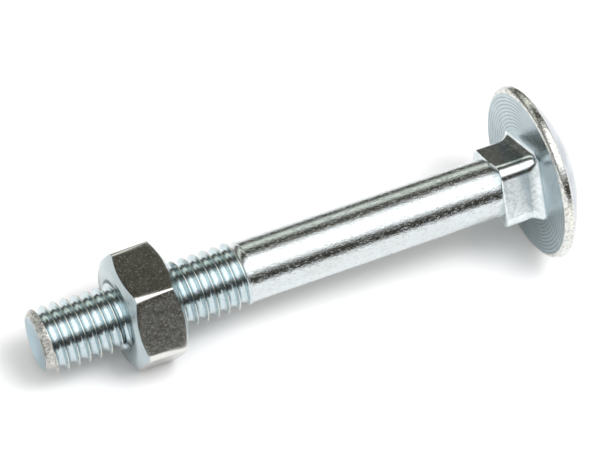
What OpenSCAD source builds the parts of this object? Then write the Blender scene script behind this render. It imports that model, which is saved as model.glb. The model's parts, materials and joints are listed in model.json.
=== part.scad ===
// Carriage bolt with its hexagon nut run part of the way up the thread.
// The bolt lies as it comes to rest: the nut and the edge of the head touch the ground, so the axis
// climbs a little towards the head. The origin is on the ground, in the middle of the model's box.

/* [Thread] */
// Outside diameter of the thread
thread_d = 6; // [5:0.01:8]
// Distance from one thread to the next
thread_pitch = 1; // [0.8:0.05:1.25]
// Length from the bolt's end to where the thread has run out
thread_len = 19.6; // [14:0.05:34]
// Turns over which the thread runs out into the shank
run_out_turns = 1.2; // [1:0.05:2.5]

/* [Shank] */
// Diameter of the plain shank
shank_d = 5.5; // [4.4:0.05:5.9]
// Length from the bolt's end to the underside of the head
bolt_len = 47.05; // [38:0.05:80]

/* [End] */
// Diameter of the bolt's end, inside its bevel
end_d = 4.8; // [4.4:0.05:5.8]
// Length of the bevel from the end to the thread's full diameter
end_bevel = 0.65; // [0.2:0.05:1.2]
// Diameter of the shallow dish that rolling the thread leaves in the end
dish_d = 4.4; // [2:0.05:4.6]
// Depth of the dish
dish_depth = 0.45; // [0.05:0.05:0.8]

/* [Square neck] */
// Width of the neck across its flat sides
neck_w = 6.1; // [5.4:0.05:7]
// Length of the neck under the head
neck_len = 3.65; // [2.5:0.05:6]
// Radius of the neck's long corners
neck_corner_r = 1.1; // [0.3:0.05:1.6]
// How far the neck's sides flare out where they meet the head
neck_flare = 0.35; // [0.1:0.05:0.8]
// Turn of the neck about the bolt's axis, from a flat side uppermost
neck_turn = -25; // [-45:1:45]

/* [Head] */
// Diameter over the rim
head_d = 16.14; // [12.5:0.05:20]
// Height from the underside to the crown of the dome
head_h = 3.6; // [2.5:0.05:5]
// How far heading the blank has left the head above the shank's axis
head_lift = 0.19; // [0:0.01:0.4]
// Thickness of the rounded rim
rim_t = 0.95; // [0.5:0.05:1.4]
// Share of the rim's thickness at which the dome leaves it
dome_start = 0.92; // [0.75:0.01:0.98]

/* [Nut] */
// Width of the nut across its flat sides
nut_w = 9.98; // [9:0.02:13]
// Height of the nut
nut_h = 4.8; // [3.5:0.1:6.5]
// Diameter of the flat ring on both faces, inside the bevel
nut_face_d = 8.9; // [8:0.05:9.9]
// Angle of the bevel on the corners, from the nut's face
nut_bevel_angle = 30; // [15:1:40]
// How much wider than the thread the mouths of the hole are
nut_mouth = 0.65; // [0.3:0.05:1.2]
// Length of bolt that stands out of the nut
nut_start = 7.6; // [1:0.05:12]
// Gap all round between the thread and the nut's hole
thread_gap = 0.05; // [0.02:0.01:0.1]

/* [Hidden] */
$fn = 96;

thread_r = thread_d / 2;
shank_r = shank_d / 2;
end_r = end_d / 2;
run_out = run_out_turns * thread_pitch;

// The dish is a cap of this sphere.
dish_r = dish_d / 2;
dish_sphere_r = (pow(dish_r, 2) + pow(dish_depth, 2)) / (2 * dish_depth);

// The rim is a ring of round section, and the dome is a cap of a sphere that springs from it.
rim_r = rim_t / 2;
rim_centre_r = head_d / 2 - rim_r;
dome_foot_h = dome_start * rim_t;
dome_foot_r = rim_centre_r + sqrt(pow(rim_r, 2) - pow(dome_foot_h - rim_r, 2));
dome_h = head_h - dome_foot_h;
dome_r = (pow(dome_foot_r, 2) + pow(dome_h, 2)) / (2 * dome_h);

nut_corner_r = nut_w / 2 / cos(30);
nut_bevel_r = nut_corner_r + 1;
nut_bevel_h = (nut_bevel_r - nut_face_d / 2) * tan(nut_bevel_angle);
bore_r = thread_r + thread_gap;
mouth_r = thread_r + nut_mouth / 2;
mouth_depth = mouth_r - bore_r;

// The nut rests on the edge of its lowest side that is nearer the bolt's end, and the head on its rim.
nut_rest = nut_start + max(0, nut_w / 2 - nut_face_d / 2) * tan(nut_bevel_angle);
rest_span = bolt_len + rim_r - nut_rest;
rest_drop = rim_centre_r - head_lift - nut_w / 2;
tilt = atan2(rest_drop, rest_span) + asin(rim_r / norm([rest_span, rest_drop]));
end_height = nut_w / 2 * cos(tilt) - nut_rest * sin(tilt);

// Ends of the whole model along X, before it is centred.
x_low = -end_r * sin(tilt);
x_high = (bolt_len + head_h - dome_r) * cos(tilt) - head_lift * sin(tilt) + dome_r;

slack = 0.01;

// Stands its children, made upright on their own axis, along the bolt's axis: local +Z runs from the
// bolt's end to its head, and local +X points down.
module on_bolt_axis() {
    translate([-(x_low + x_high) / 2, 0, end_height])
        rotate([0, 90 - tilt, 0])
            children();
}

// Half section of the thread and shank, with the bevelled and dished end.
module stem_section() {
    difference() {
        polygon([
            [0, 0],
            [end_r, 0],
            [thread_r, end_bevel],
            [thread_r, thread_len - run_out],
            [shank_r, thread_len],
            [shank_r, bolt_len],
            [0, bolt_len]
        ]);
        translate([0, dish_depth - dish_sphere_r])
            circle(dish_sphere_r, $fn = 360);
    }
}

// Half section of the head, from its underside up.
module head_section() {
    square([rim_centre_r, rim_t]);
    translate([rim_centre_r, rim_r])
        circle(rim_r);
    intersection() {
        translate([0, head_h - dome_r])
            circle(dome_r, $fn = 360);
        translate([0, dome_foot_h])
            square([head_d, head_h]);
    }
}

// Square with rounded corners, drawn as two crossed bars and four discs so that the corners are true arcs.
module neck_outline() {
    inner = neck_w - 2 * neck_corner_r;
    square([neck_w, inner], center = true);
    square([inner, neck_w], center = true);
    for (x = [-1, 1], y = [-1, 1])
        translate([x * inner / 2, y * inner / 2])
            circle(neck_corner_r);
}

// Ridge whose sides slope out at 45 degrees until it is neck_w + 2 * neck_flare wide at the head.
module flare_ridge() {
    top = neck_w / 2 + neck_flare;
    low = top - neck_len;
    rotate([90, 0, 0])
        linear_extrude(2 * top, center = true)
            polygon([[-low, -neck_len], [low, -neck_len], [top, 0], [-top, 0]]);
}

module square_neck() {
    translate([0, 0, bolt_len - neck_len])
        linear_extrude(neck_len)
            neck_outline();
    translate([0, 0, bolt_len])
        intersection() {
            flare_ridge();
            rotate([0, 0, 90])
                flare_ridge();
        }
}

module carriage_bolt() {
    color("silver")
        on_bolt_axis()
            union() {
                rotate_extrude()
                    stem_section();
                rotate([0, 0, neck_turn])
                    square_neck();
                translate([-head_lift, 0, bolt_len])
                    rotate_extrude()
                        head_section();
            }
}

// Half section of the nut's blank: a disc whose bevels cut the corners of the hexagon.
module nut_bevel_section() {
    face_r = nut_face_d / 2;
    polygon([
        [0, 0],
        [face_r, 0],
        [nut_bevel_r, nut_bevel_h],
        [nut_bevel_r, nut_h - nut_bevel_h],
        [face_r, nut_h],
        [0, nut_h]
    ]);
}

// Half section of the threaded hole with its two countersunk mouths.
module nut_hole_section() {
    polygon([
        [0, -slack],
        [mouth_r + slack, -slack],
        [bore_r, mouth_depth],
        [bore_r, nut_h - mouth_depth],
        [mouth_r + slack, nut_h + slack],
        [0, nut_h + slack]
    ]);
}

module hex_nut() {
    color("darkgray")
        on_bolt_axis()
            translate([0, 0, nut_start])
                difference() {
                    intersection() {
                        rotate([0, 0, 30])
                            cylinder(h = nut_h, r = nut_corner_r, $fn = 6);
                        rotate_extrude()
                            nut_bevel_section();
                    }
                    rotate_extrude()
                        nut_hole_section();
                }
}

carriage_bolt();
hex_nut();
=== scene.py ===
"""Looks of a zinc-plated carriage bolt and its hexagon nut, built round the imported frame.

The bolt is one turned surface with a rolled thread, and the nut another that holds the matching
thread. Both stand on the bolt's own axis: local +Z runs from the bolt's end to its head, local +X
points down and local +Y away from the camera. Sizes are in millimetres on that axis.
"""

import json
import logging
import math
from dataclasses import dataclass, field
from enum import Enum
from typing import Callable, Sequence

import bmesh
import bpy
import numpy as np
from mathutils import Euler, Matrix, Vector


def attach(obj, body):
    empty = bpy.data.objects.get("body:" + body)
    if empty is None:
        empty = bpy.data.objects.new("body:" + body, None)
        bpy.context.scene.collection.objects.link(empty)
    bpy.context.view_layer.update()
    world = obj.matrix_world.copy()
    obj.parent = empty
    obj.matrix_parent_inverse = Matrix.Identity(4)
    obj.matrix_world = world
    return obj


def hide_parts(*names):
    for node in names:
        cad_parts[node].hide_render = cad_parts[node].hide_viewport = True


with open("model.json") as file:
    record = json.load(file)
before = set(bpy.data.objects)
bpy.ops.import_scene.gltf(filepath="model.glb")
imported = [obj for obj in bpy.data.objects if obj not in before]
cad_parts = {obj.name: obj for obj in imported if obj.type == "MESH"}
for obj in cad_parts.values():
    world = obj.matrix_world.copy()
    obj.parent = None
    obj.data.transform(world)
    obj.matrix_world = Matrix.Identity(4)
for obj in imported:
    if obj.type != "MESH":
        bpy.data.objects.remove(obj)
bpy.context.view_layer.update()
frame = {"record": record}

MM = 0.001
TURN = 2.0 * math.pi
HAIR = 1e-6  # millimetres that make no difference
WELD = 3e-7  # points nearer to each other than this, in metres, are one
SLIVER = 1e-8  # edges shorter than this, in metres, are dropped
SHARP_EDGE = math.radians(38.0)  # edges that bend more than this stay sharp
MIDDLE = 25.0  # height of the bolt's middle on its axis, in millimetres
WHITE = (1.0, 1.0, 1.0)
BLACK = (0.0, 0.0, 0.0)
VECTOR = "NodeSocketVector"
VALUE = "NodeSocketFloat"
log = logging.getLogger("carriage_bolt")


class Zone(Enum):
    """Bands of the bolt's and the nut's surface that are finished each in its own way."""

    DISH = "end_dish"
    END_BAND = "end_band"
    THREAD = "rolled_thread"
    SHANK = "plain_shank"
    NECK = "square_neck"
    UNDERSIDE = "head_underside"
    RIM = "head_rim"
    DOME = "head_dome"
    NUT_FLATS = "nut_flats"
    NUT_BEVEL = "nut_bevel"
    NUT_THREAD = "nut_thread"


class Effect(Enum):
    """Effects that the finishes share, each a shader node group."""

    PEEL = "orange peel"
    CLOUDS = "plating clouds"
    RINGS = "die rings"
    # Wear on the thread's crests, painted highlight on the nut's corners.
    WEAR_AND_HIGHLIGHT = "crest wear and painted highlight"


# --------------------------------------------------------------------------------------------
# The bolt's axis


@dataclass(frozen=True)
class BoltAxis:
    """The bolt's own axis, as it lies in the frame.

    Attributes:
        end: The middle of the bolt's threaded end, in metres.
        along: Unit vector from the threaded end to the head.
    """

    end: Vector
    along: Vector

    @classmethod
    def from_record(cls, record: dict, first_full_turn: float) -> "BoltAxis":
        """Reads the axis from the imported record.

        Args:
            record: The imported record.
            first_full_turn: Distance in millimetres from the bolt's end to its full thread.

        Returns:
            The axis.
        """
        along = Vector(record["behaviour"]["joints"][0]["axis"]).normalized()
        thread = next(m for m in record["mounts"] if m["name"] == "thread_end")
        middle = first_full_turn + thread["dims"]["length_mm"] / 2.0
        return cls(Vector(thread["pos_m"]) - along * (middle * MM), along)

    @property
    def up(self) -> Vector:
        """Unit vector square to the axis, as nearly upright as it can be."""
        return Vector((-self.along.z, 0.0, self.along.x))

    @property
    def back(self) -> Vector:
        """Unit vector square to the axis, away from the camera's side."""
        return Vector((0.0, 1.0, 0.0))

    def at(self, height: float) -> Vector:
        """Place on the axis at a height in millimetres from the bolt's end."""
        return self.end + self.along * (height * MM)

    def place(self) -> Matrix:
        """Matrix from local metres on the axis to the frame."""
        rows = [(-self.up[i], self.back[i], self.along[i], self.end[i]) for i in range(3)]
        return Matrix((*rows, (0.0, 0.0, 0.0, 1.0)))


# --------------------------------------------------------------------------------------------
# Turned surfaces


def rounded_polygon(angle: np.ndarray, sides: int, half: float, corner: float) -> np.ndarray:
    """Distance from the middle of a regular polygon with rounded corners to its outline.

    Args:
        angle: Directions, in radians, from the middle of one side.
        sides: Number of sides.
        half: Distance from the middle to each side.
        corner: Radius of the rounded corners.

    Returns:
        The distance in each direction.
    """
    wedge = math.pi / sides
    folded = np.abs((angle + wedge) % (2.0 * wedge) - wedge)
    reach = (half - corner) / math.cos(wedge)
    lean = wedge - folded
    arc = reach * np.cos(lean) + np.sqrt(np.maximum(corner**2 - (reach * np.sin(lean)) ** 2, 0.0))
    flat = half / np.cos(folded)
    return np.where(half * np.tan(folded) <= (half - corner) * math.tan(wedge), flat, arc)


def ease(low: float, high: float, value: np.ndarray) -> np.ndarray:
    """Smooth step from 0 at low to 1 at high."""
    t = np.clip((value - low) / (high - low), 0.0, 1.0)
    return t * t * (3.0 - 2.0 * t)


@dataclass
class Lathe:
    """A surface swept round the bolt's axis as rows of points, each with its own outline.

    Attributes:
        angles: Direction of each column from local +X, in radians, rising from 0 to a full turn.
        heights: Heights of each row's points.
        radii: Distances of each row's points from the axis.
        zones: Finish of the band that ends at each row.
        wraps: How many rows higher each row is when it comes round to the first column.
    """

    angles: np.ndarray
    heights: list[np.ndarray] = field(default_factory=list)
    radii: list[np.ndarray] = field(default_factory=list)
    zones: list[Zone] = field(default_factory=list)
    wraps: list[int] = field(default_factory=list)

    def row(self, height: float | np.ndarray, radius: float | np.ndarray, zone: Zone) -> None:
        """Adds a row that closes on itself.

        Args:
            height: Height along the axis, one or one for each column.
            radius: Distance from the axis, one or one for each column.
            zone: Finish of the band from the row before to this one.
        """
        ones = np.ones_like(self.angles)
        self.heights.append(ones * height)
        self.radii.append(ones * radius)
        self.zones.append(zone)
        self.wraps.append(0)

    def thread(
        self,
        starts: np.ndarray,
        per_turn: int,
        span: tuple[float, float],
        pitch: float,
        radius: Callable[[np.ndarray, np.ndarray], np.ndarray],
        zone: Callable[[float], Zone],
    ) -> None:
        """Adds rows that climb one pitch in each turn, cut off at the two ends of the span.

        Args:
            starts: Height of each row at the first column, before it is cut off.
            per_turn: Number of rows in one pitch.
            span: Heights between which the rows lie, from the one they start at.
            pitch: Height that a row climbs in one turn.
            radius: Gives the distance from the axis at heights and angles.
            zone: Gives the finish of the band that ends at a row's start.
        """
        low, high = min(span), max(span)
        for index, start in enumerate(starts):
            height = np.clip(start + pitch * self.angles / TURN, low, high)
            self.heights.append(height)
            self.radii.append(radius(height, self.angles))
            self.zones.append(zone(float(start)))
            self.wraps.append(min(per_turn, len(starts) - 1 - index))

    def build(self, name: str, slots: Sequence[Zone], closed: bool = False) -> bpy.types.Object:
        """Makes the mesh object.

        Args:
            name: Name of the object.
            slots: The zones in the order of the object's material slots.
            closed: Whether the last row joins the first.

        Returns:
            The object, at the origin, in local metres.
        """
        rows = len(self.heights)
        columns = len(self.angles)
        height = np.array(self.heights)
        radius = np.array(self.radii)
        points = np.stack([radius * np.cos(self.angles), radius * np.sin(self.angles), height], -1)
        order = {zone: index for index, zone in enumerate(slots)}
        faces = []
        marks = []
        for i in range(rows if closed else rows - 1):
            k = (i + 1) % rows
            for j in range(columns):
                last = j == columns - 1
                here = (i + self.wraps[i]) * columns if last else i * columns + j + 1
                there = (k + self.wraps[k]) * columns if last else k * columns + j + 1
                faces.append((i * columns + j, here, there, k * columns + j))
            marks.extend([order[self.zones[k]]] * columns)
        mesh = bpy.data.meshes.new(name)
        mesh.from_pydata(points.reshape(-1, 3) * MM, [], faces)
        mesh.polygons.foreach_set("material_index", marks)
        weld(mesh)
        mesh.polygons.foreach_set("use_smooth", [True] * len(mesh.polygons))
        mesh.set_sharp_from_angle(angle=SHARP_EDGE)
        made = bpy.data.objects.new(name, mesh)
        bpy.context.scene.collection.objects.link(made)
        return made


def weld(mesh: bpy.types.Mesh) -> None:
    """Joins points that coincide and turns all faces outwards.

    Args:
        mesh: The mesh, in metres.
    """
    work = bmesh.new()
    work.from_mesh(mesh)
    bmesh.ops.remove_doubles(work, verts=work.verts, dist=WELD)
    bmesh.ops.dissolve_degenerate(work, edges=work.edges, dist=SLIVER)
    bmesh.ops.recalc_face_normals(work, faces=work.faces)
    work.to_mesh(mesh)
    work.free()


@dataclass(frozen=True)
class ThreadForm:
    """Form of the rolled metric thread.

    Attributes:
        pitch: Distance from one crest to the next.
        radius: Radius over the crests.
        start: Height of a crest at the first column.
        knots: Distances along the axis from the middle of a crest, as parts of the pitch.
        depths: How deep the surface lies below the crest there.
    """

    pitch: float = 1.0
    radius: float = 3.0
    start: float = 0.14
    knots: tuple[float, ...] = (0.0, 0.03, 0.055, 0.085, 0.12, 0.17, 0.24, 0.32, 0.41, 0.5)
    depths: tuple[float, ...] = (0.0, 0.01, 0.05, 0.14, 0.24, 0.345, 0.425, 0.475, 0.51, 0.52)

    def phase(self, height: np.ndarray, angles: np.ndarray) -> np.ndarray:
        """Distance above the crest below, from 0 up to one pitch."""
        return (height - self.pitch * angles / TURN - self.start) % self.pitch

    def depth(self, height: np.ndarray, angles: np.ndarray) -> np.ndarray:
        """Depth of the full thread's surface below its crests."""
        near = np.abs((self.phase(height, angles) / self.pitch + 0.5) % 1.0 - 0.5)
        return np.interp(near, self.knots, self.depths)

    def groove_middle(self, height: np.ndarray, angles: np.ndarray) -> np.ndarray:
        """Height of the middle of the groove that a point lies in."""
        return height + 0.5 * self.pitch - self.phase(height, angles)

    def offsets(self) -> np.ndarray:
        """Places of the rows within one pitch, from a crest up.

        Returns:
            The places, in millimetres over the crest.
        """
        rising = list(self.knots)
        falling = [1.0 - knot for knot in reversed(self.knots[1:-1])]
        return np.array(rising + falling) * self.pitch

    def starts(self, low: float, high: float) -> np.ndarray:
        """Heights at the first column of the rows that cover the heights from low to high.

        Args:
            low: Lowest height.
            high: Highest height.

        Returns:
            The heights, rising, with whole turns' worth of rows.
        """
        first = math.floor((low - self.pitch - self.start) / self.pitch)
        last = math.ceil((high - self.start) / self.pitch) + 1
        turns = [self.start + self.pitch * turn + self.offsets() for turn in range(first, last)]
        return np.concatenate(turns)


# --------------------------------------------------------------------------------------------
# The bolt


@dataclass
class CarriageBolt:
    """The bolt: dished end, rolled thread, plain shank, square neck and domed head in one.

    Heights are measured from the threaded end, rises from the underside of the head.

    Attributes:
        form: Form of the thread.
        columns: Number of points round the bolt.
        end_r: Radius of the end face.
        bevel: Height of the bevel at the end.
        bevel_curve: Roundness of the bevel, where 1 is straight.
        lobes: Unevenness round the end: waves in a turn, size and place in radians.
        lobe_sink: How far the uneven end lies inside the even one.
        lobe_fade: Heights between which the unevenness fades.
        dish_r: Radius of the dish in the end face.
        dish_depth: Depth of the dish.
        dish_rows: Radii of the dish's rows.
        lip: Rows of the lip round the dish: height, step outwards from the dish and finish.
        thread_from: Height of the thread's lowest points.
        thread_stop: Height of its highest points.
        groove_from: Heights between which the grooves deepen.
        groove_to: Heights between which the grooves run out.
        run_out: Heights between which the crests sink to the shank.
        last_fall: Part of the pitch over which the last crest falls.
        shank_r: Radius of the plain shank.
        shank_gap: Height from the thread's last row to the shank's first.
        shank_rows: Number of rows on the shank.
        neck_start: Height of the step up to the square neck.
        neck_half: Half the neck's width across its flats.
        neck_corner: Radius of the neck's corners.
        neck_turn: Direction of one of the neck's flats, in degrees.
        neck_step: Rows of the step: height over its foot and share of its width.
        neck_rows: Number of rows on the neck's straight part.
        neck_flare: How far the neck's foot widens.
        flare_height: Height of the flare.
        flare_gap: Height left between the flare and the underside.
        flare_curve: Roundness of the flare, where 1 is straight.
        flare_sharpen: Part of the corner's radius that the flare takes away.
        flare_rows: Places of the flare's rows, as parts of its height.
        fillet: Rows from the flare to the underside: rise and step outwards.
        flat_rows: Places of the rows from there to the first ring.
        length: Height of the underside of the head.
        ring_from: Radius at which the rings start.
        ring_pitch: Distance from one ring to the next.
        ring_depth: Depth of a ring's groove.
        ring_profile: Rows of a ring: place in the pitch and part of the depth.
        rim_gap: Distance from the last ring's flat to the rim.
        head_r: Radius of the head.
        head_h: Height of the head.
        rim_profile: Rows of the rim: step outwards from the head's radius and rise.
        dome_rows: Number of rows from the rim to the top of the dome.
        neck_shift: How far the neck stands off the axis, on local X and Y.
        head_shift: How far the head does.
        neck_blend: Half the height over which the neck's shift comes in.
        head_blend: Height over which the head's shift comes in.
    """

    form: ThreadForm = field(default_factory=ThreadForm)
    columns: int = 168
    end_r: float = 2.56
    bevel: float = 0.65
    bevel_curve: float = 1.8
    lobes: tuple[tuple[int, float, float], ...] = ((3, 0.022, 0.8), (7, 0.014, 2.1), (13, 0.009, 0.3))
    lobe_sink: float = 0.02
    lobe_fade: tuple[float, float] = (0.1, 0.55)
    dish_r: float = 2.42
    dish_depth: float = 0.45
    dish_rows: tuple[float, ...] = (0.0, 0.4, 0.8, 1.2, 1.55, 1.85, 2.05)
    lip: tuple[tuple[float, float, Zone], ...] = (
        (0.045, -0.03, Zone.DISH), (0.008, 0.03, Zone.DISH),
        (0.0, 0.09, Zone.END_BAND), (0.006, 0.15, Zone.END_BAND),
    )
    thread_from: float = 0.03
    thread_stop: float = 19.6
    groove_from: tuple[float, float] = (0.15, 0.45)
    groove_to: tuple[float, float] = (18.7, 19.5)
    run_out: tuple[float, float] = (18.5, 19.85)
    last_fall: float = 0.3
    shank_r: float = 2.75
    shank_gap: float = 0.3
    shank_rows: int = 22
    neck_start: float = 43.4
    neck_half: float = 3.05
    neck_corner: float = 1.1
    neck_turn: float = -25.0
    neck_step: tuple[tuple[float, float], ...] = ((0.02, 0.35), (0.05, 0.8), (0.12, 0.95), (0.22, 1.0))
    neck_rows: int = 6
    neck_flare: float = 0.35
    flare_height: float = 1.1
    flare_gap: float = 0.1
    flare_curve: float = 2.2
    flare_sharpen: float = 0.25
    flare_rows: tuple[float, ...] = (0.2, 0.4, 0.6, 0.75, 0.88, 1.0)
    fillet: tuple[tuple[float, float], ...] = ((-0.04, 0.04), (-0.008, 0.12), (0.0, 0.22))
    flat_rows: tuple[float, ...] = (0.4, 0.75, 1.0)
    length: float = 47.05
    ring_from: float = 4.75
    ring_pitch: float = 0.34
    ring_depth: float = 0.014
    ring_profile: tuple[tuple[float, float], ...] = (
        (0.18, 0.0), (0.36, 0.45), (0.5, 1.0), (0.64, 0.45), (0.82, 0.0),
    )
    rim_gap: float = 0.06
    head_r: float = 8.07
    head_h: float = 3.6
    rim_profile: tuple[tuple[float, float], ...] = (
        (-0.47, 0.0), (-0.41, 0.02), (-0.31, 0.07), (-0.2, 0.145), (-0.11, 0.24), (-0.045, 0.35),
        (-0.008, 0.48), (0.0, 0.58), (-0.01, 0.68), (-0.045, 0.76), (-0.11, 0.81), (-0.2, 0.85),
    )
    dome_rows: int = 19
    neck_shift: tuple[float, float] = (0.03, -0.12)
    head_shift: tuple[float, float] = (-0.19, 0.0)
    neck_blend: float = 0.05
    head_blend: float = 0.2

    slots = (
        Zone.DISH, Zone.END_BAND, Zone.THREAD, Zone.SHANK,
        Zone.NECK, Zone.UNDERSIDE, Zone.RIM, Zone.DOME,
    )

    def angles(self) -> np.ndarray:
        """Directions of the columns."""
        return np.arange(self.columns) * TURN / self.columns

    def lumps(self, height: np.ndarray) -> np.ndarray:
        """Small unevenness that rolling leaves round the bolt's end, fading up the bevel."""
        swell = sum(size * np.sin(waves * self.angles() + place) for waves, size, place in self.lobes)
        return (swell - self.lobe_sink) * (1.0 - ease(*self.lobe_fade, height))

    def envelope(self, height: np.ndarray) -> np.ndarray:
        """Radius over the crests, with the bevelled end and the run-out into the shank.

        Args:
            height: Height of each point.

        Returns:
            The radius at each point.
        """
        left = 1.0 - np.clip(height / self.bevel, 0.0, 1.0)
        bevel = self.end_r + (self.form.radius - self.end_r) * (1.0 - left**self.bevel_curve)
        return bevel - (self.form.radius - self.shank_r) * ease(*self.run_out, height)

    def thread_radius(self, height: np.ndarray, angles: np.ndarray) -> np.ndarray:
        """Distance of the thread's surface from the axis.

        Args:
            height: Height of each point.
            angles: Direction of each point.

        Returns:
            The distance of each point.
        """
        middle = self.form.groove_middle(height, angles)
        full = ease(*self.groove_from, middle) * (1.0 - ease(*self.groove_to, middle))
        cut = self.form.depth(height, angles) * full
        return self.envelope(height) + self.lumps(height) - cut

    def thread_zone(self, start: float) -> Zone:
        """Finish of the thread's band that ends at a row.

        Args:
            start: Height of the row at the first column, before it is cut off.

        Returns:
            The finish.
        """
        first_crest = self.form.start + HAIR
        crests = math.floor(self.run_out[0] - self.form.start)
        last_crest = first_crest + self.form.pitch * crests
        if start < first_crest:
            return Zone.END_BAND
        return Zone.THREAD if start < last_crest + self.last_fall * self.form.pitch else Zone.SHANK

    def add_end(self, lathe: Lathe) -> None:
        """Adds the dish and its narrow lip.

        Args:
            lathe: The surface that takes the rows.
        """
        sphere = (self.dish_r**2 + self.dish_depth**2) / (2.0 * self.dish_depth)
        for radius in self.dish_rows:
            depth = self.dish_depth - (sphere - math.sqrt(sphere**2 - radius**2))
            lathe.row(depth, radius, Zone.DISH)
        uneven = self.lumps(np.zeros(self.columns))
        for height, step, zone in self.lip:
            lathe.row(height, self.dish_r + step + uneven, zone)

    def add_thread(self, lathe: Lathe) -> None:
        """Adds the rolled thread, from the lip to the plain shank.

        Args:
            lathe: The surface that takes the rows.
        """
        foot = np.full(self.columns, self.thread_from)
        lathe.row(foot, self.thread_radius(foot, lathe.angles), Zone.END_BAND)
        lathe.thread(
            self.form.starts(self.thread_from, self.thread_stop),
            len(self.form.offsets()),
            (self.thread_from, self.thread_stop),
            self.form.pitch,
            self.thread_radius,
            self.thread_zone,
        )

    def add_shank(self, lathe: Lathe) -> None:
        """Adds the plain shank, up to the square neck."""
        for height in np.linspace(self.thread_stop + self.shank_gap, self.neck_start, self.shank_rows):
            lathe.row(height, self.shank_r, Zone.SHANK)

    def neck_outline(self, grow: float, corner: float) -> np.ndarray:
        """Outline of the square neck, wider by grow, with corners of that radius."""
        turned = self.angles() - math.radians(self.neck_turn)
        return rounded_polygon(turned, 4, self.neck_half + grow, corner)

    def add_neck(self, lathe: Lathe) -> None:
        """Adds the square neck, from its step to the flare under the head.

        Args:
            lathe: The surface that takes the rows.
        """
        square = self.neck_outline(0.0, self.neck_corner)
        for rise, share in self.neck_step:
            lathe.row(self.neck_start + rise, self.shank_r + (square - self.shank_r) * share, Zone.NECK)
        foot = self.neck_start + self.neck_step[-1][0]
        flare_foot = self.length - self.flare_height
        for height in np.linspace(foot, flare_foot, self.neck_rows + 1)[1:]:
            lathe.row(height, square, Zone.NECK)
        for share in self.flare_rows:
            grow = self.neck_flare * share**self.flare_curve
            corner = self.neck_corner * (1.0 - self.flare_sharpen * share)
            height = flare_foot + (self.length - self.flare_gap - flare_foot) * share
            lathe.row(height, self.neck_outline(grow, corner), Zone.NECK)

    def add_underside(self, lathe: Lathe) -> None:
        """Adds the flat underside of the head with the rings that the die leaves.

        Args:
            lathe: The surface that takes the rows.
        """
        foot = self.neck_outline(self.neck_flare, self.neck_corner * (1.0 - self.flare_sharpen))
        for rise, step in self.fillet:
            lathe.row(self.length + rise, foot + step, Zone.UNDERSIDE)
        flat = foot + self.fillet[-1][1]
        for share in self.flat_rows:
            lathe.row(self.length, flat + (self.ring_from - flat) * share, Zone.UNDERSIDE)
        inner = self.head_r + self.rim_profile[0][0] - self.rim_gap
        for ring in np.arange(self.ring_from, inner - self.ring_pitch, self.ring_pitch):
            for share, depth in self.ring_profile:
                height = self.length + self.ring_depth * depth
                lathe.row(height, ring + self.ring_pitch * share, Zone.UNDERSIDE)
        lathe.row(self.length, inner, Zone.UNDERSIDE)

    def add_head(self, lathe: Lathe) -> None:
        """Adds the rounded rim and the dome.

        Args:
            lathe: The surface that takes the rows.
        """
        for inset, rise in self.rim_profile:
            lathe.row(self.length + rise, self.head_r + inset, Zone.RIM)
        foot_r = self.head_r + self.rim_profile[-1][0]
        dome_h = self.head_h - self.rim_profile[-1][1]
        sphere = (foot_r**2 + dome_h**2) / (2.0 * dome_h)
        lean = math.asin(foot_r / sphere)
        for share in np.linspace(1.0, 0.0, self.dome_rows + 1)[1:]:
            angle = lean * share
            height = self.length + self.head_h - sphere * (1.0 - math.cos(angle))
            lathe.row(height, sphere * math.sin(angle), Zone.DOME)

    def shift_head(self, mesh: bpy.types.Mesh) -> None:
        """Moves the neck and the head a little off the shank's axis, as heading leaves them.

        Args:
            mesh: The bolt's mesh, in local metres.
        """
        points = np.zeros(len(mesh.vertices) * 3)
        mesh.vertices.foreach_get("co", points)
        points = points.reshape(-1, 3)
        height = points[:, 2] / MM
        neck = ease(self.neck_start - self.neck_blend, self.neck_start + self.neck_blend, height)
        head = ease(self.length - self.head_blend, self.length, height)
        for side in range(2):
            step = self.head_shift[side] - self.neck_shift[side]
            points[:, side] += (self.neck_shift[side] * neck + step * head) * MM
        mesh.vertices.foreach_set("co", points.reshape(-1))

    def build(self) -> bpy.types.Object:
        """Makes the bolt.

        Returns:
            The bolt, in local metres.
        """
        lathe = Lathe(self.angles())
        self.add_end(lathe)
        self.add_thread(lathe)
        self.add_shank(lathe)
        self.add_neck(lathe)
        self.add_underside(lathe)
        self.add_head(lathe)
        made = lathe.build("carriage_bolt_body", self.slots)
        self.shift_head(made.data)
        return made


# --------------------------------------------------------------------------------------------
# The nut


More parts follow.
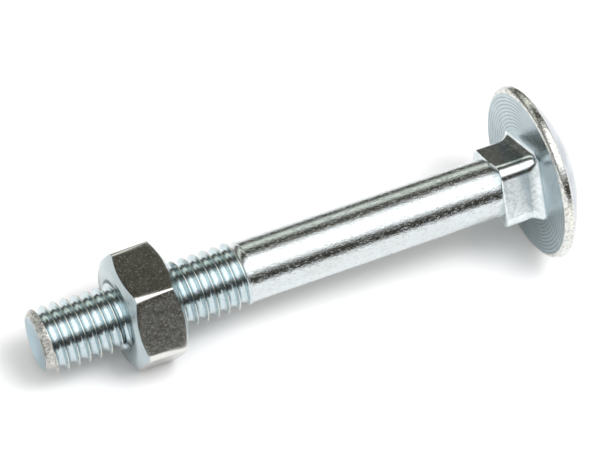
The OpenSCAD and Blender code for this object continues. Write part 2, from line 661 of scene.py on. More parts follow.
@dataclass
class HexNut:
    """The hexagon nut with bevelled corners, countersunk mouths and its inner thread.

    Attributes:
        form: Form of the thread.
        sides: Number of sides.
        fan: Directions of the columns on one side of a corner, in degrees from it.
        start: Height of the nut's lower face on the bolt's axis.
        height: Height of the nut.
        half: Half the nut's width across its flats.
        corner: Radius of the corners at the lower and the upper face.
        face_r: Radius of the round faces inside the bevels.
        bevel_angle: Slope of the bevels, in degrees.
        bevel_rows: Places of the bevels' rows, as parts of their width.
        edge_inset: Distance from a bevel to the nearest row of the flats.
        flat_rows: Number of rows on the flats.
        mouth_r: Radius of the countersunk mouths.
        mouth_edge: Width of the narrow edge round a mouth.
        ridge_r: Smallest radius of the inner thread.
        play: Space between the two threads.
    """

    form: ThreadForm = field(default_factory=ThreadForm)
    sides: int = 6
    fan: tuple[float, ...] = (
        0.0, 0.6, 1.2, 1.8, 2.5, 3.2, 3.9, 4.6, 6.5, 9.5, 13.0, 17.0, 21.0, 25.5,
    )
    start: float = 7.6
    height: float = 4.8
    half: float = 4.99
    corner: tuple[float, float] = (0.85, 0.3)
    face_r: float = 4.45
    bevel_angle: float = 30.0
    bevel_rows: tuple[float, ...] = (0.12, 0.4, 0.7, 0.9, 0.985)
    edge_inset: float = 0.05
    flat_rows: int = 11
    mouth_r: float = 3.31
    mouth_edge: float = 0.04
    ridge_r: float = 2.53
    play: float = 0.035

    slots = (Zone.NUT_BEVEL, Zone.NUT_FLATS, Zone.NUT_THREAD)

    def angles(self) -> np.ndarray:
        """Directions of the columns, closest together at the six corners.

        Returns:
            The directions, in radians.
        """
        fan = np.array(self.fan)
        wedge = 180.0 / self.sides
        around_corner = np.concatenate([-fan[:0:-1], fan]) + wedge
        turn = np.concatenate([around_corner + 2.0 * wedge * side for side in range(self.sides)])
        return np.radians(turn)

    def bore(self, height: np.ndarray, angles: np.ndarray) -> np.ndarray:
        """Distance of the inner thread and the countersunk mouths from the axis.

        Args:
            height: Height of each point.
            angles: Direction of each point.

        Returns:
            The distance of each point.
        """
        groove = self.form.radius + self.play - self.form.depth(height, angles)
        rise = np.minimum(height - self.start, self.start + self.height - height)
        return np.maximum(np.maximum(groove, self.ridge_r), self.mouth_r - rise)

    def build(self) -> bpy.types.Object:
        """Makes the nut.

        Returns:
            The nut, in local metres.
        """
        angles = self.angles()
        lathe = Lathe(angles)
        near = rounded_polygon(angles, self.sides, self.half, self.corner[0])
        far = rounded_polygon(angles, self.sides, self.half, self.corner[1])
        slope = math.tan(math.radians(self.bevel_angle))
        low = self.start
        high = self.start + self.height
        top = high - (far - self.face_r) * slope
        bottom = low + (near - self.face_r) * slope
        lathe.row(low, self.face_r, Zone.NUT_BEVEL)
        lathe.row(low, self.mouth_r + self.mouth_edge, Zone.NUT_BEVEL)
        lathe.thread(
            self.form.starts(low, high),
            len(self.form.offsets()),
            (low, high),
            self.form.pitch,
            self.bore,
            lambda start: Zone.NUT_THREAD,
        )
        lathe.row(high, self.mouth_r + self.mouth_edge, Zone.NUT_THREAD)
        lathe.row(high, self.face_r, Zone.NUT_BEVEL)
        for share in self.bevel_rows:
            height = high + (top - high) * share
            lathe.row(height, self.face_r + (far - self.face_r) * share, Zone.NUT_BEVEL)
        for share in np.linspace(0.0, 1.0, self.flat_rows):
            height = top - self.edge_inset + (bottom + 2.0 * self.edge_inset - top) * share
            lathe.row(height, far + (near - far) * share, Zone.NUT_FLATS)
        for share in reversed(self.bevel_rows):
            height = low + (bottom - low) * share
            lathe.row(height, self.face_r + (near - self.face_r) * share, Zone.NUT_BEVEL)
        return lathe.build("hex_nut_body", self.slots, closed=True)


# --------------------------------------------------------------------------------------------
# Shader nodes


class Shop:
    """Small helper that places nodes in one tree and joins them."""

    def __init__(self, tree: bpy.types.NodeTree) -> None:
        """Keeps the tree."""
        self.tree = tree

    def add(self, kind: str, **settings: object) -> bpy.types.Node:
        """Places a node.

        Args:
            kind: Type name of the node.
            **settings: Properties of the node.

        Returns:
            The node.
        """
        node = self.tree.nodes.new(kind)
        for name, value in settings.items():
            setattr(node, name, value)
        return node

    def join(self, source: bpy.types.NodeSocket, target: bpy.types.NodeSocket) -> None:
        """Joins an output to an input."""
        self.tree.links.new(source, target)

    def feed(self, value: object, target: bpy.types.NodeSocket) -> None:
        """Joins a socket to an input, or writes a plain value there.

        Args:
            value: The socket or the plain value.
            target: The input.
        """
        if isinstance(value, bpy.types.NodeSocket):
            self.join(value, target)
        else:
            target.default_value = value

    def group(self, tree: bpy.types.NodeTree, **values: object) -> bpy.types.Node:
        """Places a shared group.

        Args:
            tree: The group.
            **values: A socket or a plain value for each input that is fed.

        Returns:
            The node that holds the group.
        """
        node = self.add("ShaderNodeGroup", node_tree=tree)
        for name, value in values.items():
            self.feed(value, node.inputs[name])
        return node

    def math(self, operation: str, a: object, b: object) -> bpy.types.NodeSocket:
        """Places a math node.

        Args:
            operation: Name of the operation.
            a: First value.
            b: Second value.

        Returns:
            The result.
        """
        node = self.add("ShaderNodeMath", operation=operation)
        self.feed(a, node.inputs[0])
        self.feed(b, node.inputs[1])
        return node.outputs[0]

    def noise(
        self, vector: object, scale: object, detail: float = 3.0, rough: float = 0.5
    ) -> bpy.types.NodeSocket:
        """Places a noise texture.

        Args:
            vector: Place that it is read at.
            scale: Fineness of its grain.
            detail: Number of finer layers.
            rough: Strength of the finer layers.

        Returns:
            The noise, from 0 to 1.
        """
        node = self.add("ShaderNodeTexNoise")
        self.feed(vector, node.inputs["Vector"])
        self.feed(scale, node.inputs["Scale"])
        node.inputs["Detail"].default_value = detail
        node.inputs["Roughness"].default_value = rough
        return node.outputs["Fac"]

    def span(
        self, value: object, low: object, high: object, to: tuple[float, float] = (0.0, 1.0)
    ) -> bpy.types.NodeSocket:
        """Spreads a value from low and high to another range, cut off at both ends.

        Args:
            value: The value.
            low: Value that gives the range's first end.
            high: Value that gives its second end.
            to: The two ends of the range.

        Returns:
            The result.
        """
        node = self.add("ShaderNodeMapRange", clamp=True)
        self.feed(value, node.inputs["Value"])
        self.feed(low, node.inputs["From Min"])
        self.feed(high, node.inputs["From Max"])
        self.feed(to[0], node.inputs["To Min"])
        self.feed(to[1], node.inputs["To Max"])
        return node.outputs["Result"]

    def blend(self, share: object, a: object, b: object) -> bpy.types.NodeSocket:
        """Mixes two colours.

        Args:
            share: Share of the second colour.
            a: First colour.
            b: Second colour.

        Returns:
            The mixed colour.
        """
        node = self.add("ShaderNodeMix", data_type="RGBA")
        self.feed(share, node.inputs[0])
        self.feed(a, node.inputs[6])
        self.feed(b, node.inputs[7])
        return node.outputs[2]

    def stretch(self, vector: object, scale: Sequence[float]) -> bpy.types.NodeSocket:
        """Scales a vector by a plain amount on each axis.

        Args:
            vector: The vector.
            scale: The three amounts.

        Returns:
            The scaled vector.
        """
        node = self.add("ShaderNodeVectorMath", operation="MULTIPLY")
        self.feed(vector, node.inputs[0])
        node.inputs[1].default_value = tuple(scale)
        return node.outputs[0]

    def part_along(self, vector: object, way: Vector) -> bpy.types.NodeSocket:
        """Part of a vector that lies along a plain direction.

        Args:
            vector: The vector.
            way: The direction.

        Returns:
            The length of that part.
        """
        node = self.add("ShaderNodeVectorMath", operation="DOT_PRODUCT")
        self.feed(vector, node.inputs[0])
        node.inputs[1].default_value = way
        return node.outputs["Value"]

    def axis_distance(self, vector: object) -> bpy.types.NodeSocket:
        """Distance of a place from the bolt's axis, in the vector's own unit.

        Args:
            vector: The place, on the bolt's local axes.

        Returns:
            The distance.
        """
        length = self.add("ShaderNodeVectorMath", operation="LENGTH")
        self.join(self.stretch(vector, (1.0, 1.0, 0.0)), length.inputs[0])
        return length.outputs["Value"]

    def bump(self, height: object, depth: float, over: object = None) -> bpy.types.NodeSocket:
        """Places a bump.

        Args:
            height: Height of the surface, from 0 to 1.
            depth: Depth in millimetres that a height of 1 stands for.
            over: Normal that the bump is added to, or None for the surface's own.

        Returns:
            The normal.
        """
        node = self.add("ShaderNodeBump")
        node.inputs["Strength"].default_value = 1.0
        node.inputs["Distance"].default_value = depth * MM
        self.join(height, node.inputs["Height"])
        if over is not None:
            self.join(over, node.inputs["Normal"])
        return node.outputs["Normal"]


def new_group(
    effect: Effect, takes: dict[str, tuple], gives: dict[str, str]
) -> tuple[bpy.types.NodeTree, Shop]:
    """Starts a shader node group.

    Args:
        effect: Effect that the group gives.
        takes: Name of each input with its kind and first value.
        gives: Name of each output with its kind.

    Returns:
        The group and the helper that fills it.
    """
    group = bpy.data.node_groups.new(effect.value, "ShaderNodeTree")
    for label, (kind, value) in takes.items():
        socket = group.interface.new_socket(label, in_out="INPUT", socket_type=kind)
        if value is not None:
            socket.default_value = value
    for label, kind in gives.items():
        group.interface.new_socket(label, in_out="OUTPUT", socket_type=kind)
    return group, Shop(group)


def orange_peel_group() -> bpy.types.NodeTree:
    """Group for the small rounded speckles that bright plating has, drawn out along the axis.

    Returns:
        The group, which takes a vector, the speckles' fineness and the share of small pits, and
        gives a height, a mask of the pits and a mask of the flecks.
    """
    group, shop = new_group(
        Effect.PEEL,
        {
            "Vector": (VECTOR, None),
            "Scale": (VALUE, 3.0),
            "Pits": (VALUE, 0.3),
        },
        {"Height": VALUE, "Mask": VALUE, "Fleck": VALUE},
    )
    fleck_scale = 0.8
    fleck_edge = (0.47, 0.6)
    broad_scale = 0.45
    broad_share = 0.5
    pit_edge = (0.60, 0.72)
    entry = shop.add("NodeGroupInput")
    leave = shop.add("NodeGroupOutput")
    vector = entry.outputs["Vector"]
    scale = entry.outputs["Scale"]
    small = shop.noise(vector, shop.math("MULTIPLY", scale, fleck_scale), detail=4.0, rough=0.65)
    shop.join(shop.span(small, *fleck_edge), leave.inputs["Fleck"])
    broad = shop.noise(vector, shop.math("MULTIPLY", scale, broad_scale), detail=2.0)
    fine = shop.noise(vector, scale, detail=4.0, rough=0.6)
    pits = shop.math("MULTIPLY", shop.span(fine, *pit_edge), entry.outputs["Pits"])
    height = shop.math("ADD", shop.math("MULTIPLY", broad, broad_share), fine)
    shop.join(shop.math("SUBTRACT", height, pits), leave.inputs["Height"])
    shop.join(pits, leave.inputs["Mask"])
    return group


def plating_clouds_group() -> bpy.types.NodeTree:
    """Group for the faint clouds of colour that blue-clear zinc plating has.

    Returns:
        The group, which takes a vector, the clouds' fineness and their strength, and gives a
        mask of the clouds and a fine grain.
    """
    group, shop = new_group(
        Effect.CLOUDS,
        {
            "Vector": (VECTOR, None),
            "Scale": (VALUE, 0.5),
            "Strength": (VALUE, 0.5),
        },
        {"Mask": VALUE, "Fine": VALUE},
    )
    cloud_edge = (0.38, 0.66)
    grain_scale = 14.0
    grain_edge = (0.3, 0.7)
    entry = shop.add("NodeGroupInput")
    leave = shop.add("NodeGroupOutput")
    vector = entry.outputs["Vector"]
    cloud = shop.span(shop.noise(vector, entry.outputs["Scale"], detail=5.0, rough=0.62), *cloud_edge)
    shop.join(shop.math("MULTIPLY", cloud, entry.outputs["Strength"]), leave.inputs["Mask"])
    grain = shop.noise(vector, shop.math("MULTIPLY", entry.outputs["Scale"], grain_scale), rough=0.6)
    shop.join(shop.span(grain, *grain_edge), leave.inputs["Fine"])
    return group


def die_rings_group() -> bpy.types.NodeTree:
    """Group for the fine turned rings that the heading die leaves under the head.

    Returns:
        The group, which takes a vector, the first ring's radius, the pitch and how strongly the
        rings show, and gives a mask of the rings' dark grooves and a height.
    """
    group, shop = new_group(
        Effect.RINGS,
        {
            "Vector": (VECTOR, None),
            "First": (VALUE, 4.5),
            "Pitch": (VALUE, 0.34),
            "Strength": (VALUE, 0.0),
        },
        {"Mask": VALUE, "Height": VALUE},
    )
    sway_scale = 0.35
    sway_reach = 0.10
    groove_edge = (0.24, 0.5)
    fade_in = 0.3
    worn_scale = 1.1
    worn_edge = (0.3, 0.62)
    worn_share = (0.45, 1.0)
    entry = shop.add("NodeGroupInput")
    leave = shop.add("NodeGroupOutput")
    vector = entry.outputs["Vector"]
    first = entry.outputs["First"]
    sway = shop.math("MULTIPLY", shop.noise(vector, sway_scale, detail=2.0), sway_reach)
    radius = shop.math("ADD", shop.axis_distance(vector), sway)
    turns = shop.math("DIVIDE", shop.math("SUBTRACT", radius, first), entry.outputs["Pitch"])
    groove = shop.span(shop.math("PINGPONG", turns, 0.5), *groove_edge)
    start = shop.span(radius, shop.math("SUBTRACT", first, fade_in), first)
    patchy = shop.span(shop.noise(vector, worn_scale, detail=4.0, rough=0.6), *worn_edge, worn_share)
    mask = shop.math("MULTIPLY", shop.math("MULTIPLY", groove, start), patchy)
    mask = shop.math("MULTIPLY", mask, entry.outputs["Strength"])
    shop.join(mask, leave.inputs["Mask"])
    shop.join(shop.math("MULTIPLY", mask, -1.0), leave.inputs["Height"])
    return group


def crest_wear_and_highlight_group() -> bpy.types.NodeTree:
    """Group for the bright line of wear on thread crests and of painted highlight on nut corners.

    Returns:
        The group, which takes a vector and the radius where the line starts and where it is
        full, and gives a mask.
    """
    group, shop = new_group(
        Effect.WEAR_AND_HIGHLIGHT,
        {
            "Vector": (VECTOR, None),
            "From": (VALUE, 2.92),
            "Full": (VALUE, 2.97),
        },
        {"Mask": VALUE},
    )
    entry = shop.add("NodeGroupInput")
    leave = shop.add("NodeGroupOutput")
    radius = shop.axis_distance(entry.outputs["Vector"])
    shop.join(shop.span(radius, entry.outputs["From"], entry.outputs["Full"]), leave.inputs["Mask"])
    return group


def opaque(colour: Sequence[float]) -> tuple[float, float, float, float]:
    """The colour with a full fourth part."""
    return (*colour, 1.0)


@dataclass(frozen=True)
class Plating:
    """Finish of one zone of the zinc plating.

    Attributes:
        colour: Linear colour of the clean plating.
        cloud: Linear colour of its clouds.
        cloud_scale: Fineness of the clouds, for each millimetre.
        cloud_share: How strongly the clouds show.
        dark: How bright a pit or a fleck is next to the clean plating.
        rough: Roughness where the plating is smooth and where it is dull.
        stretch: How the speckles are drawn out: scale on local X, Y and Z.
        speckle: Fineness of the speckles, for each millimetre.
        peel: Height of the speckles in the bump, in millimetres.
        pits: Share of small pits.
        pit_dark: How much a pit darkens the colour.
        grain: Height of the fine grain in the bump, in millimetres.
        fleck: How much a fleck darkens the colour.
        fleck_rough: How much rougher the plating is at a fleck.
        rings: How strongly turned rings show, as a bump and as painted shade in their grooves.
        ring_groove_shade: Linear colour of the painted shade in the rings' grooves.
        crest: Radii from which and at which the line along crests and corners is bright.
        crest_colour: Linear colour of the line: wear on threads, painted highlight on nut corners.
        crest_rough: Roughness of that line.
    """

    colour: tuple[float, float, float] = (0.78, 0.815, 0.84)
    cloud: tuple[float, float, float] = (0.70, 0.76, 0.80)
    cloud_scale: float = 0.45
    cloud_share: float = 0.5
    dark: float = 0.35
    rough: tuple[float, float] = (0.07, 0.12)
    stretch: tuple[float, float, float] = (1.0, 1.0, 0.45)
    speckle: float = 3.2
    peel: float = 0.012
    pits: float = 0.3
    pit_dark: float = 0.25
    grain: float = 0.0012
    fleck: float = 0.0
    fleck_rough: float = 0.0
    rings: float = 0.0
    ring_groove_shade: tuple[float, float, float] = (0.12, 0.16, 0.185)
    crest: tuple[float, float] | None = None
    crest_colour: tuple[float, float, float] = (0.62, 0.60, 0.53)
    crest_rough: float = 0.4

    def local_place(self, shop: Shop, place: Matrix) -> bpy.types.NodeSocket:
        """Gives each point's place in millimetres on the bolt's local axes.

        Args:
            shop: Helper for the material's tree.
            place: Matrix from local metres on the bolt's axis to the frame.

        Returns:
            The place.
        """
        back = place.inverted()
        local = shop.add("ShaderNodeMapping")
        shop.join(shop.add("ShaderNodeTexCoord").outputs["Object"], local.inputs["Vector"])
        local.inputs["Location"].default_value = back.translation / MM
        local.inputs["Rotation"].default_value = back.to_euler()
        local.inputs["Scale"].default_value = (1.0 / MM,) * 3
        return local.outputs["Vector"]

    def dress(
        self, name: str, groups: dict[Effect, bpy.types.NodeTree], place: Matrix
    ) -> bpy.types.Material:
        """Makes the material.

        Args:
            name: Name of the material.
            groups: The shared node groups.
            place: Matrix from local metres on the bolt's axis to the frame.

        Returns:
            The material.
        """
        material = bpy.data.materials.new(name)
        material.use_nodes = True
        material.node_tree.nodes.clear()
        shop = Shop(material.node_tree)
        output = shop.add("ShaderNodeOutputMaterial")
        shader = shop.add("ShaderNodeBsdfPrincipled")
        shader.inputs["Metallic"].default_value = 1.0
        shop.join(shader.outputs["BSDF"], output.inputs["Surface"])
        local = self.local_place(shop, place)
        drawn = shop.stretch(local, self.stretch)
        peel = shop.group(groups[Effect.PEEL], Vector=drawn, Scale=self.speckle, Pits=self.pits).outputs
        cloud = shop.group(
            groups[Effect.CLOUDS], Vector=local, Scale=self.cloud_scale, Strength=self.cloud_share
        ).outputs
        dark = opaque([part * self.dark for part in self.colour])
        colour = shop.blend(cloud["Mask"], opaque(self.colour), opaque(self.cloud))
        colour = shop.blend(shop.math("MULTIPLY", peel["Mask"], self.pit_dark), colour, dark)
        colour = shop.blend(shop.math("MULTIPLY", peel["Fleck"], self.fleck), colour, dark)
        height = peel["Height"]
        rough = shop.span(cloud["Fine"], 0.0, 1.0, self.rough)
        rough = shop.math("ADD", rough, shop.math("MULTIPLY", peel["Fleck"], self.fleck_rough))
        # Brighter line: wear on thread crests, painted highlight on nut corners.
        if self.crest:
            first, full = self.crest
            wear_and_highlight = shop.group(groups[Effect.WEAR_AND_HIGHLIGHT], Vector=local, From=first, Full=full).outputs["Mask"]
            colour = shop.blend(wear_and_highlight, colour, opaque(self.crest_colour))
            rough = shop.math("MAXIMUM", rough, shop.math("MULTIPLY", wear_and_highlight, self.crest_rough))
        if self.rings:
            rings = shop.group(groups[Effect.RINGS], Vector=local, Strength=self.rings).outputs
            # Painted shade in the turned rings' grooves.
            colour = shop.blend(rings["Mask"], colour, opaque(self.ring_groove_shade))
            height = shop.math("ADD", height, rings["Height"])
        shop.join(colour, shader.inputs["Base Color"])
        shop.join(rough, shader.inputs["Roughness"])
        speckled = shop.bump(height, self.peel)
        shop.join(shop.bump(cloud["Fine"], self.grain, speckled), shader.inputs["Normal"])
        return material


FINISHES = {
    Zone.DISH: Plating(
        colour=(0.46, 0.585, 0.645), cloud=(0.37, 0.49, 0.55), peel=0.005, speckle=1.6,
        stretch=(1.0, 1.0, 1.0), rough=(0.08, 0.14),
    ),
    Zone.END_BAND: Plating(
        colour=(0.74, 0.74, 0.71), cloud=(0.50, 0.47, 0.42), cloud_scale=2.2, cloud_share=0.8,
        peel=0.07, speckle=5.0, stretch=(1.0, 1.0, 1.0), rough=(0.15, 0.25), pit_dark=0.6, pits=0.9,
        fleck=0.65,
    ),
    Zone.THREAD: Plating(
        colour=(0.61, 0.70, 0.725), cloud=(0.47, 0.58, 0.615), peel=0.01, speckle=6.0,
        stretch=(1.0, 1.0, 1.0), rough=(0.12, 0.19), crest=(2.91, 2.985), pits=0.6, pit_dark=0.5,
        fleck=0.2, fleck_rough=0.03, crest_colour=(0.72, 0.72, 0.67), crest_rough=0.24,
    ),
    Zone.SHANK: Plating(
        colour=(0.66, 0.695, 0.695), peel=0.015, speckle=8.0, stretch=(1.0, 1.0, 0.36), grain=0.003,
        pits=0.7, pit_dark=0.2, rough=(0.03, 0.06), fleck=0.14, fleck_rough=0.25,
    ),
    Zone.NECK: Plating(
        colour=(0.81, 0.86, 0.88), cloud=(0.60, 0.67, 0.68), cloud_scale=1.1, cloud_share=0.8,
        stretch=(1.0, 1.0, 1.0), speckle=4.5, peel=0.004, grain=0.0012, rough=(0.07, 0.2),
        fleck=0.15, fleck_rough=0.1,
    ),
    Zone.UNDERSIDE: Plating(
        colour=(0.48, 0.56, 0.59), cloud=(0.33, 0.42, 0.45), peel=0.01, stretch=(1.0, 1.0, 1.0),
        # The turned rings' grooves carry painted shade.
        rough=(0.16, 0.26), rings=0.95,
    ),
    Zone.RIM: Plating(
        colour=(0.80, 0.79, 0.735), stretch=(1.0, 1.0, 1.0), peel=0.024, speckle=5.0, pits=0.8,
        pit_dark=0.7, rough=(0.04, 0.08), fleck=0.5, fleck_rough=0.3,
    ),
    Zone.DOME: Plating(colour=(0.39, 0.42, 0.47), peel=0.006, stretch=(1.0, 1.0, 1.0)),
    Zone.NUT_FLATS: Plating(
        colour=(0.67, 0.675, 0.645), cloud=(0.47, 0.465, 0.42), cloud_scale=1.2, cloud_share=0.8,
        stretch=(1.0, 0.7, 1.0), speckle=8.0, peel=0.004, grain=0.0025, rough=(0.1, 0.16), pits=0.6,
        fleck=0.15, fleck_rough=0.13,
        # Lighter colour on the corners: painted highlight.
        crest=(5.5, 5.57), crest_colour=(0.74, 0.74, 0.71), crest_rough=0.1,
    ),
    Zone.NUT_BEVEL: Plating(
        colour=(0.47, 0.54, 0.555), cloud=(0.38, 0.45, 0.47), stretch=(1.0, 1.0, 1.0), peel=0.012,
        rough=(0.16, 0.26),
    ),
    Zone.NUT_THREAD: Plating(colour=(0.4, 0.5, 0.54), peel=0.01),
}


# --------------------------------------------------------------------------------------------
# The studio


@dataclass(frozen=True)
class StripSky:
    """The studio's light: long soft strips that lie beside the bolt's axis.

    Attributes:
        strips: Direction and brightness of each strip. The direction is the angle from straight
            up towards the camera's side, in degrees.
        brightest: Brightness that the ramp's white stands for.
        dark_below: Brightness under which a strip has the dark tint.
        dark_tint: Tint of the dark strips.
        back_before: Direction before which the bright strips have the back tint.
        back_tint: Tint of the bright strips behind the bolt.
        head_fade: How nearly a direction must point past the head to take its light, as a cosine.
        head_light: Colour of the light past the head.
        end_fade: The same past the threaded end.
        end_light: Colour of the light past the threaded end.
    """

    strips: tuple[tuple[float, float], ...] = (
        (-112.0, 0.45), (-96.0, 0.12), (-85.0, 0.08), (-79.0, 0.11), (-73.5, 0.38),
        (-67.0, 0.84), (-61.0, 1.15), (-55.5, 1.1), (-50.0, 0.55), (-45.0, 0.18),
        (-38.0, 0.06), (-32.0, 0.05), (-26.0, 0.12), (-20.0, 0.25), (-14.5, 0.55),
        (-10.0, 1.05), (-5.5, 1.8), (41.0, 1.75), (46.5, 1.25), (51.0, 0.64),
        (55.5, 0.32), (60.0, 0.16), (66.0, 0.08), (72.0, 0.045), (80.0, 0.04),
        (86.0, 0.07), (92.0, 0.35), (100.0, 0.95),
    )
    brightest: float = 2.2
    dark_below: float = 0.26
    dark_tint: tuple[float, float, float] = (1.0, 0.94, 0.79)
    back_before: float = -40.0
    back_tint: tuple[float, float, float] = (0.95, 1.0, 0.92)
    head_fade: tuple[float, float] = (0.84, 0.99)
    head_light: tuple[float, float, float] = (0.5, 0.51, 0.54)
    end_fade: tuple[float, float] = (0.8, 0.93)
    end_light: tuple[float, float, float] = (0.15, 0.165, 0.17)

    def tint(self, direction: float, brightness: float) -> tuple[float, float, float]:
        """Tint of a strip.

        Args:
            direction: Direction of the strip.
            brightness: Brightness of the strip.

        Returns:
            The tint.
        """
        if brightness < self.dark_below:
            return self.dark_tint
        return self.back_tint if direction < self.back_before else (1.0, 1.0, 1.0)

    def strip_light(self, shop: Shop, turn: object) -> bpy.types.NodeSocket:
        """Places the ramp that holds the strips.

        Args:
            shop: Helper for the world's tree.
            turn: Direction as a part of a turn, where 0.5 is straight up.

        Returns:
            The strips' colour.
        """
        ramp = shop.add("ShaderNodeValToRGB")
        shop.join(turn, ramp.inputs["Fac"])
        stops = ramp.color_ramp.elements
        while len(stops) > 1:
            stops.remove(stops[-1])
        for index, (direction, brightness) in enumerate(self.strips):
            place = direction / 360.0 + 0.5
            stop = stops[0] if index == 0 else stops.new(place)
            stop.position = place
            share = brightness / self.brightest
            stop.color = opaque([share * part for part in self.tint(direction, brightness)])
        return shop.stretch(ramp.outputs["Color"], (self.brightest,) * 3)

    def build(self, axis: BoltAxis) -> bpy.types.World:
        """Makes the world.

        Args:
            axis: The bolt's axis.

        Returns:
            The world.
        """
        world = bpy.data.worlds.new("studio")
        bpy.context.scene.world = world
        world.use_nodes = True
        world.node_tree.nodes.clear()
        shop = Shop(world.node_tree)
        output = shop.add("ShaderNodeOutputWorld")
        ray = shop.add("ShaderNodeTexCoord").outputs["Generated"]
        rise = shop.part_along(ray, axis.up)
        along = shop.part_along(ray, axis.along)
        front = shop.part_along(ray, -axis.back)
        lean = shop.math("ARCTAN2", front, rise)
        turn = shop.math("ADD", shop.math("MULTIPLY", lean, 1.0 / TURN), 0.5)
        light = self.strip_light(shop, turn)
        light = shop.blend(shop.span(along, *self.head_fade), light, opaque(self.head_light))
        behind = shop.math("MULTIPLY", along, -1.0)
        light = shop.blend(shop.span(behind, *self.end_fade), light, opaque(self.end_light))
        path = shop.add("ShaderNodeLightPath")
        light = shop.blend(path.outputs["Is Camera Ray"], light, opaque(WHITE))
        glow = shop.add("ShaderNodeBackground")
        shop.join(light, glow.inputs["Color"])
        glow.inputs["Strength"].default_value = 1.0
        shop.join(glow.outputs[0], output.inputs["Surface"])
        return world


@dataclass(frozen=True)
class SoftLamp:
    """The soft lamp over the bolt that shapes the shadow.

    Attributes:
        size: Width of the lamp, in metres.
        power: Power of the lamp, in watts.
        lean: Angle from straight up towards the camera's side, in degrees.
        towards_head: How far the lamp stands towards the head, next to its height.
        reach: Distance from the bolt, in metres.
    """

    size: float = 0.2
    power: float = 1.2
    lean: float = 21.0
    towards_head: float = 0.32
    reach: float = 0.5

    def build(self, axis: BoltAxis) -> bpy.types.Object:
        """Makes the lamp.

        Args:
            axis: The bolt's axis.

        Returns:
            The lamp.
        """
        light = bpy.data.lights.new("soft_lamp", "AREA")
        light.shape = "SQUARE"
        light.size = self.size
        light.energy = self.power
        made = bpy.data.objects.new("soft_lamp", light)
        lean = math.radians(self.lean)
        way = axis.up * math.cos(lean) - axis.back * math.sin(lean)
        way = (way + axis.along * self.towards_head).normalized()
        made.location = axis.at(MIDDLE) + way * self.reach
        made.rotation_euler = way.to_track_quat("Z", "Y").to_euler()
        made.visible_glossy = False
        bpy.context.scene.collection.objects.link(made)
        return made


@dataclass(frozen=True)
class PaperFloor:
    """The pale floor that the bolt lies on.

    Attributes:
        reach: How far the floor reaches to the front and to both sides, in metres.
        back: How far it reaches behind the bolt, in metres.
        colour: Linear colour of the paper.
        glow: Light that the camera and reflections see on it besides.
    """

    reach: float = 0.5
    back: float = 0.06
    colour: tuple[float, float, float] = (0.855, 0.853, 0.86)
    glow: tuple[float, float, float] = (0.03, 0.03, 0.03)

    def paper(self) -> bpy.types.Material:
        """Makes the paper's material.

        Returns:
            The material.
        """
        material = bpy.data.materials.new("white_paper")
        material.use_nodes = True
        material.node_tree.nodes.clear()
        shop = Shop(material.node_tree)
        output = shop.add("ShaderNodeOutputMaterial")
        shader = shop.add("ShaderNodeBsdfPrincipled")
        shader.inputs["Base Color"].default_value = opaque(self.colour)
        shader.inputs["Roughness"].default_value = 1.0
        shader.inputs["Specular IOR Level"].default_value = 0.0
        path = shop.add("ShaderNodeLightPath").outputs
        seen = shop.math("MAXIMUM", path["Is Camera Ray"], path["Is Glossy Ray"])
        seen = shop.math("MAXIMUM", seen, path["Is Transmission Ray"])
        shop.join(shop.blend(seen, opaque(BLACK), opaque(self.glow)), shader.inputs["Emission Color"])
        shader.inputs["Emission Strength"].default_value = 1.0
        shop.join(shader.outputs["BSDF"], output.inputs["Surface"])
        return material

    def build(self) -> bpy.types.Object:
        """Makes the floor.

        Returns:
            The floor.
        """
        mesh = bpy.data.meshes.new("floor")
        near = -self.reach
        corners = [(near, near, 0), (self.reach, near, 0), (self.reach, self.back, 0), (near, self.back, 0)]
        mesh.from_pydata(corners, [], [(0, 1, 2, 3)])
        mesh.materials.append(self.paper())
        made = bpy.data.objects.new("floor", mesh)
        bpy.context.scene.collection.objects.link(made)
        return made


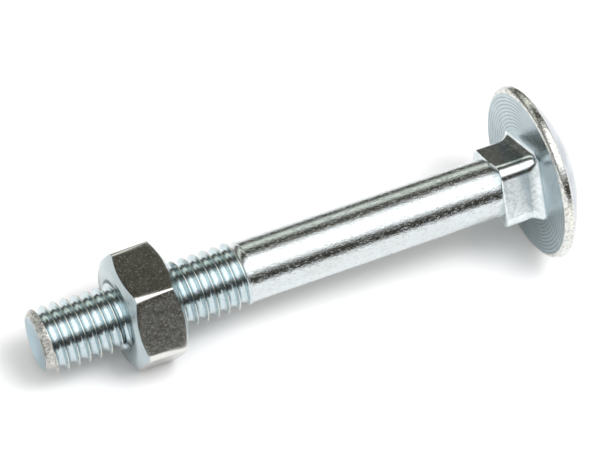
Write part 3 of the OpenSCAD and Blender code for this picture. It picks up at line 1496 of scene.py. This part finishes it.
@dataclass(frozen=True)
class StudioCamera:
    """The camera, which looks down on the bolt from the front.

    Attributes:
        turned: Tilt, bank and heading of the camera, in degrees.
        aim: Place that it points at, in millimetres from the middle of the bolt.
        distance: Distance from that place, in millimetres.
        focal: Focal length, in millimetres.
        sensor: Width of the sensor, in millimetres.
        nearest: Distance at which it starts to see, in metres.
        farthest: Distance at which it stops, in metres.
    """

    turned: tuple[float, float, float] = (41.42178, -4.35824, -24.41147)
    aim: tuple[float, float, float] = (0.5554, 1.7348, 1.5848)
    distance: float = 299.97
    focal: float = 205.12909
    sensor: float = 36.0
    nearest: float = 0.01
    farthest: float = 20.0

    def build(self, axis: BoltAxis) -> bpy.types.Object:
        """Makes the camera and takes it into use.

        Args:
            axis: The bolt's axis.

        Returns:
            The camera.
        """
        lens = bpy.data.cameras.new("camera")
        lens.sensor_width = self.sensor
        lens.lens = self.focal
        lens.clip_start = self.nearest
        lens.clip_end = self.farthest
        made = bpy.data.objects.new("camera", lens)
        turn = Euler([math.radians(angle) for angle in self.turned])
        away = turn.to_matrix() @ Vector((0.0, 0.0, self.distance))
        made.location = axis.at(MIDDLE) + (Vector(self.aim) + away) * MM
        made.rotation_euler = turn
        bpy.context.scene.collection.objects.link(made)
        bpy.context.scene.camera = made
        return made


def set_view() -> None:
    """Sets the plain colour view."""
    bpy.context.scene.view_settings.view_transform = "Standard"


def install(piece: bpy.types.Object, place: Matrix, body: str, node: str) -> None:
    """Puts a piece on its body in place of its CAD node.

    Args:
        piece: The piece, in local metres.
        place: Matrix from local metres to the frame.
        body: The CAD body that it rides on.
        node: The CAD node that it stands for.
    """
    piece.data.transform(place)
    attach(piece, body)
    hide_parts(node)
    log.info("%s: %d faces", piece.name, len(piece.data.polygons))


def main() -> None:
    """Builds the bolt, the nut and the studio."""
    logging.basicConfig(level=logging.INFO, format="%(message)s")
    set_view()
    bolt = CarriageBolt()
    nut = HexNut()
    axis = BoltAxis.from_record(frame["record"], bolt.bevel)
    groups = {
        Effect.PEEL: orange_peel_group(),
        Effect.CLOUDS: plating_clouds_group(),
        Effect.RINGS: die_rings_group(),
        Effect.WEAR_AND_HIGHLIGHT: crest_wear_and_highlight_group(),
    }
    place = axis.place()
    finishes = {zone: finish.dress(zone.value, groups, place) for zone, finish in FINISHES.items()}
    bolt_piece = bolt.build()
    nut_piece = nut.build()
    for piece, slots in ((bolt_piece, bolt.slots), (nut_piece, nut.slots)):
        for zone in slots:
            piece.data.materials.append(finishes[zone])
    install(bolt_piece, place, "bolt", "carriage_bolt")
    install(nut_piece, place, "nut", "hex_nut")
    StripSky().build(axis)
    SoftLamp().build(axis)
    PaperFloor().build()
    StudioCamera().build(axis)


if __name__ == "__main__":
    main()
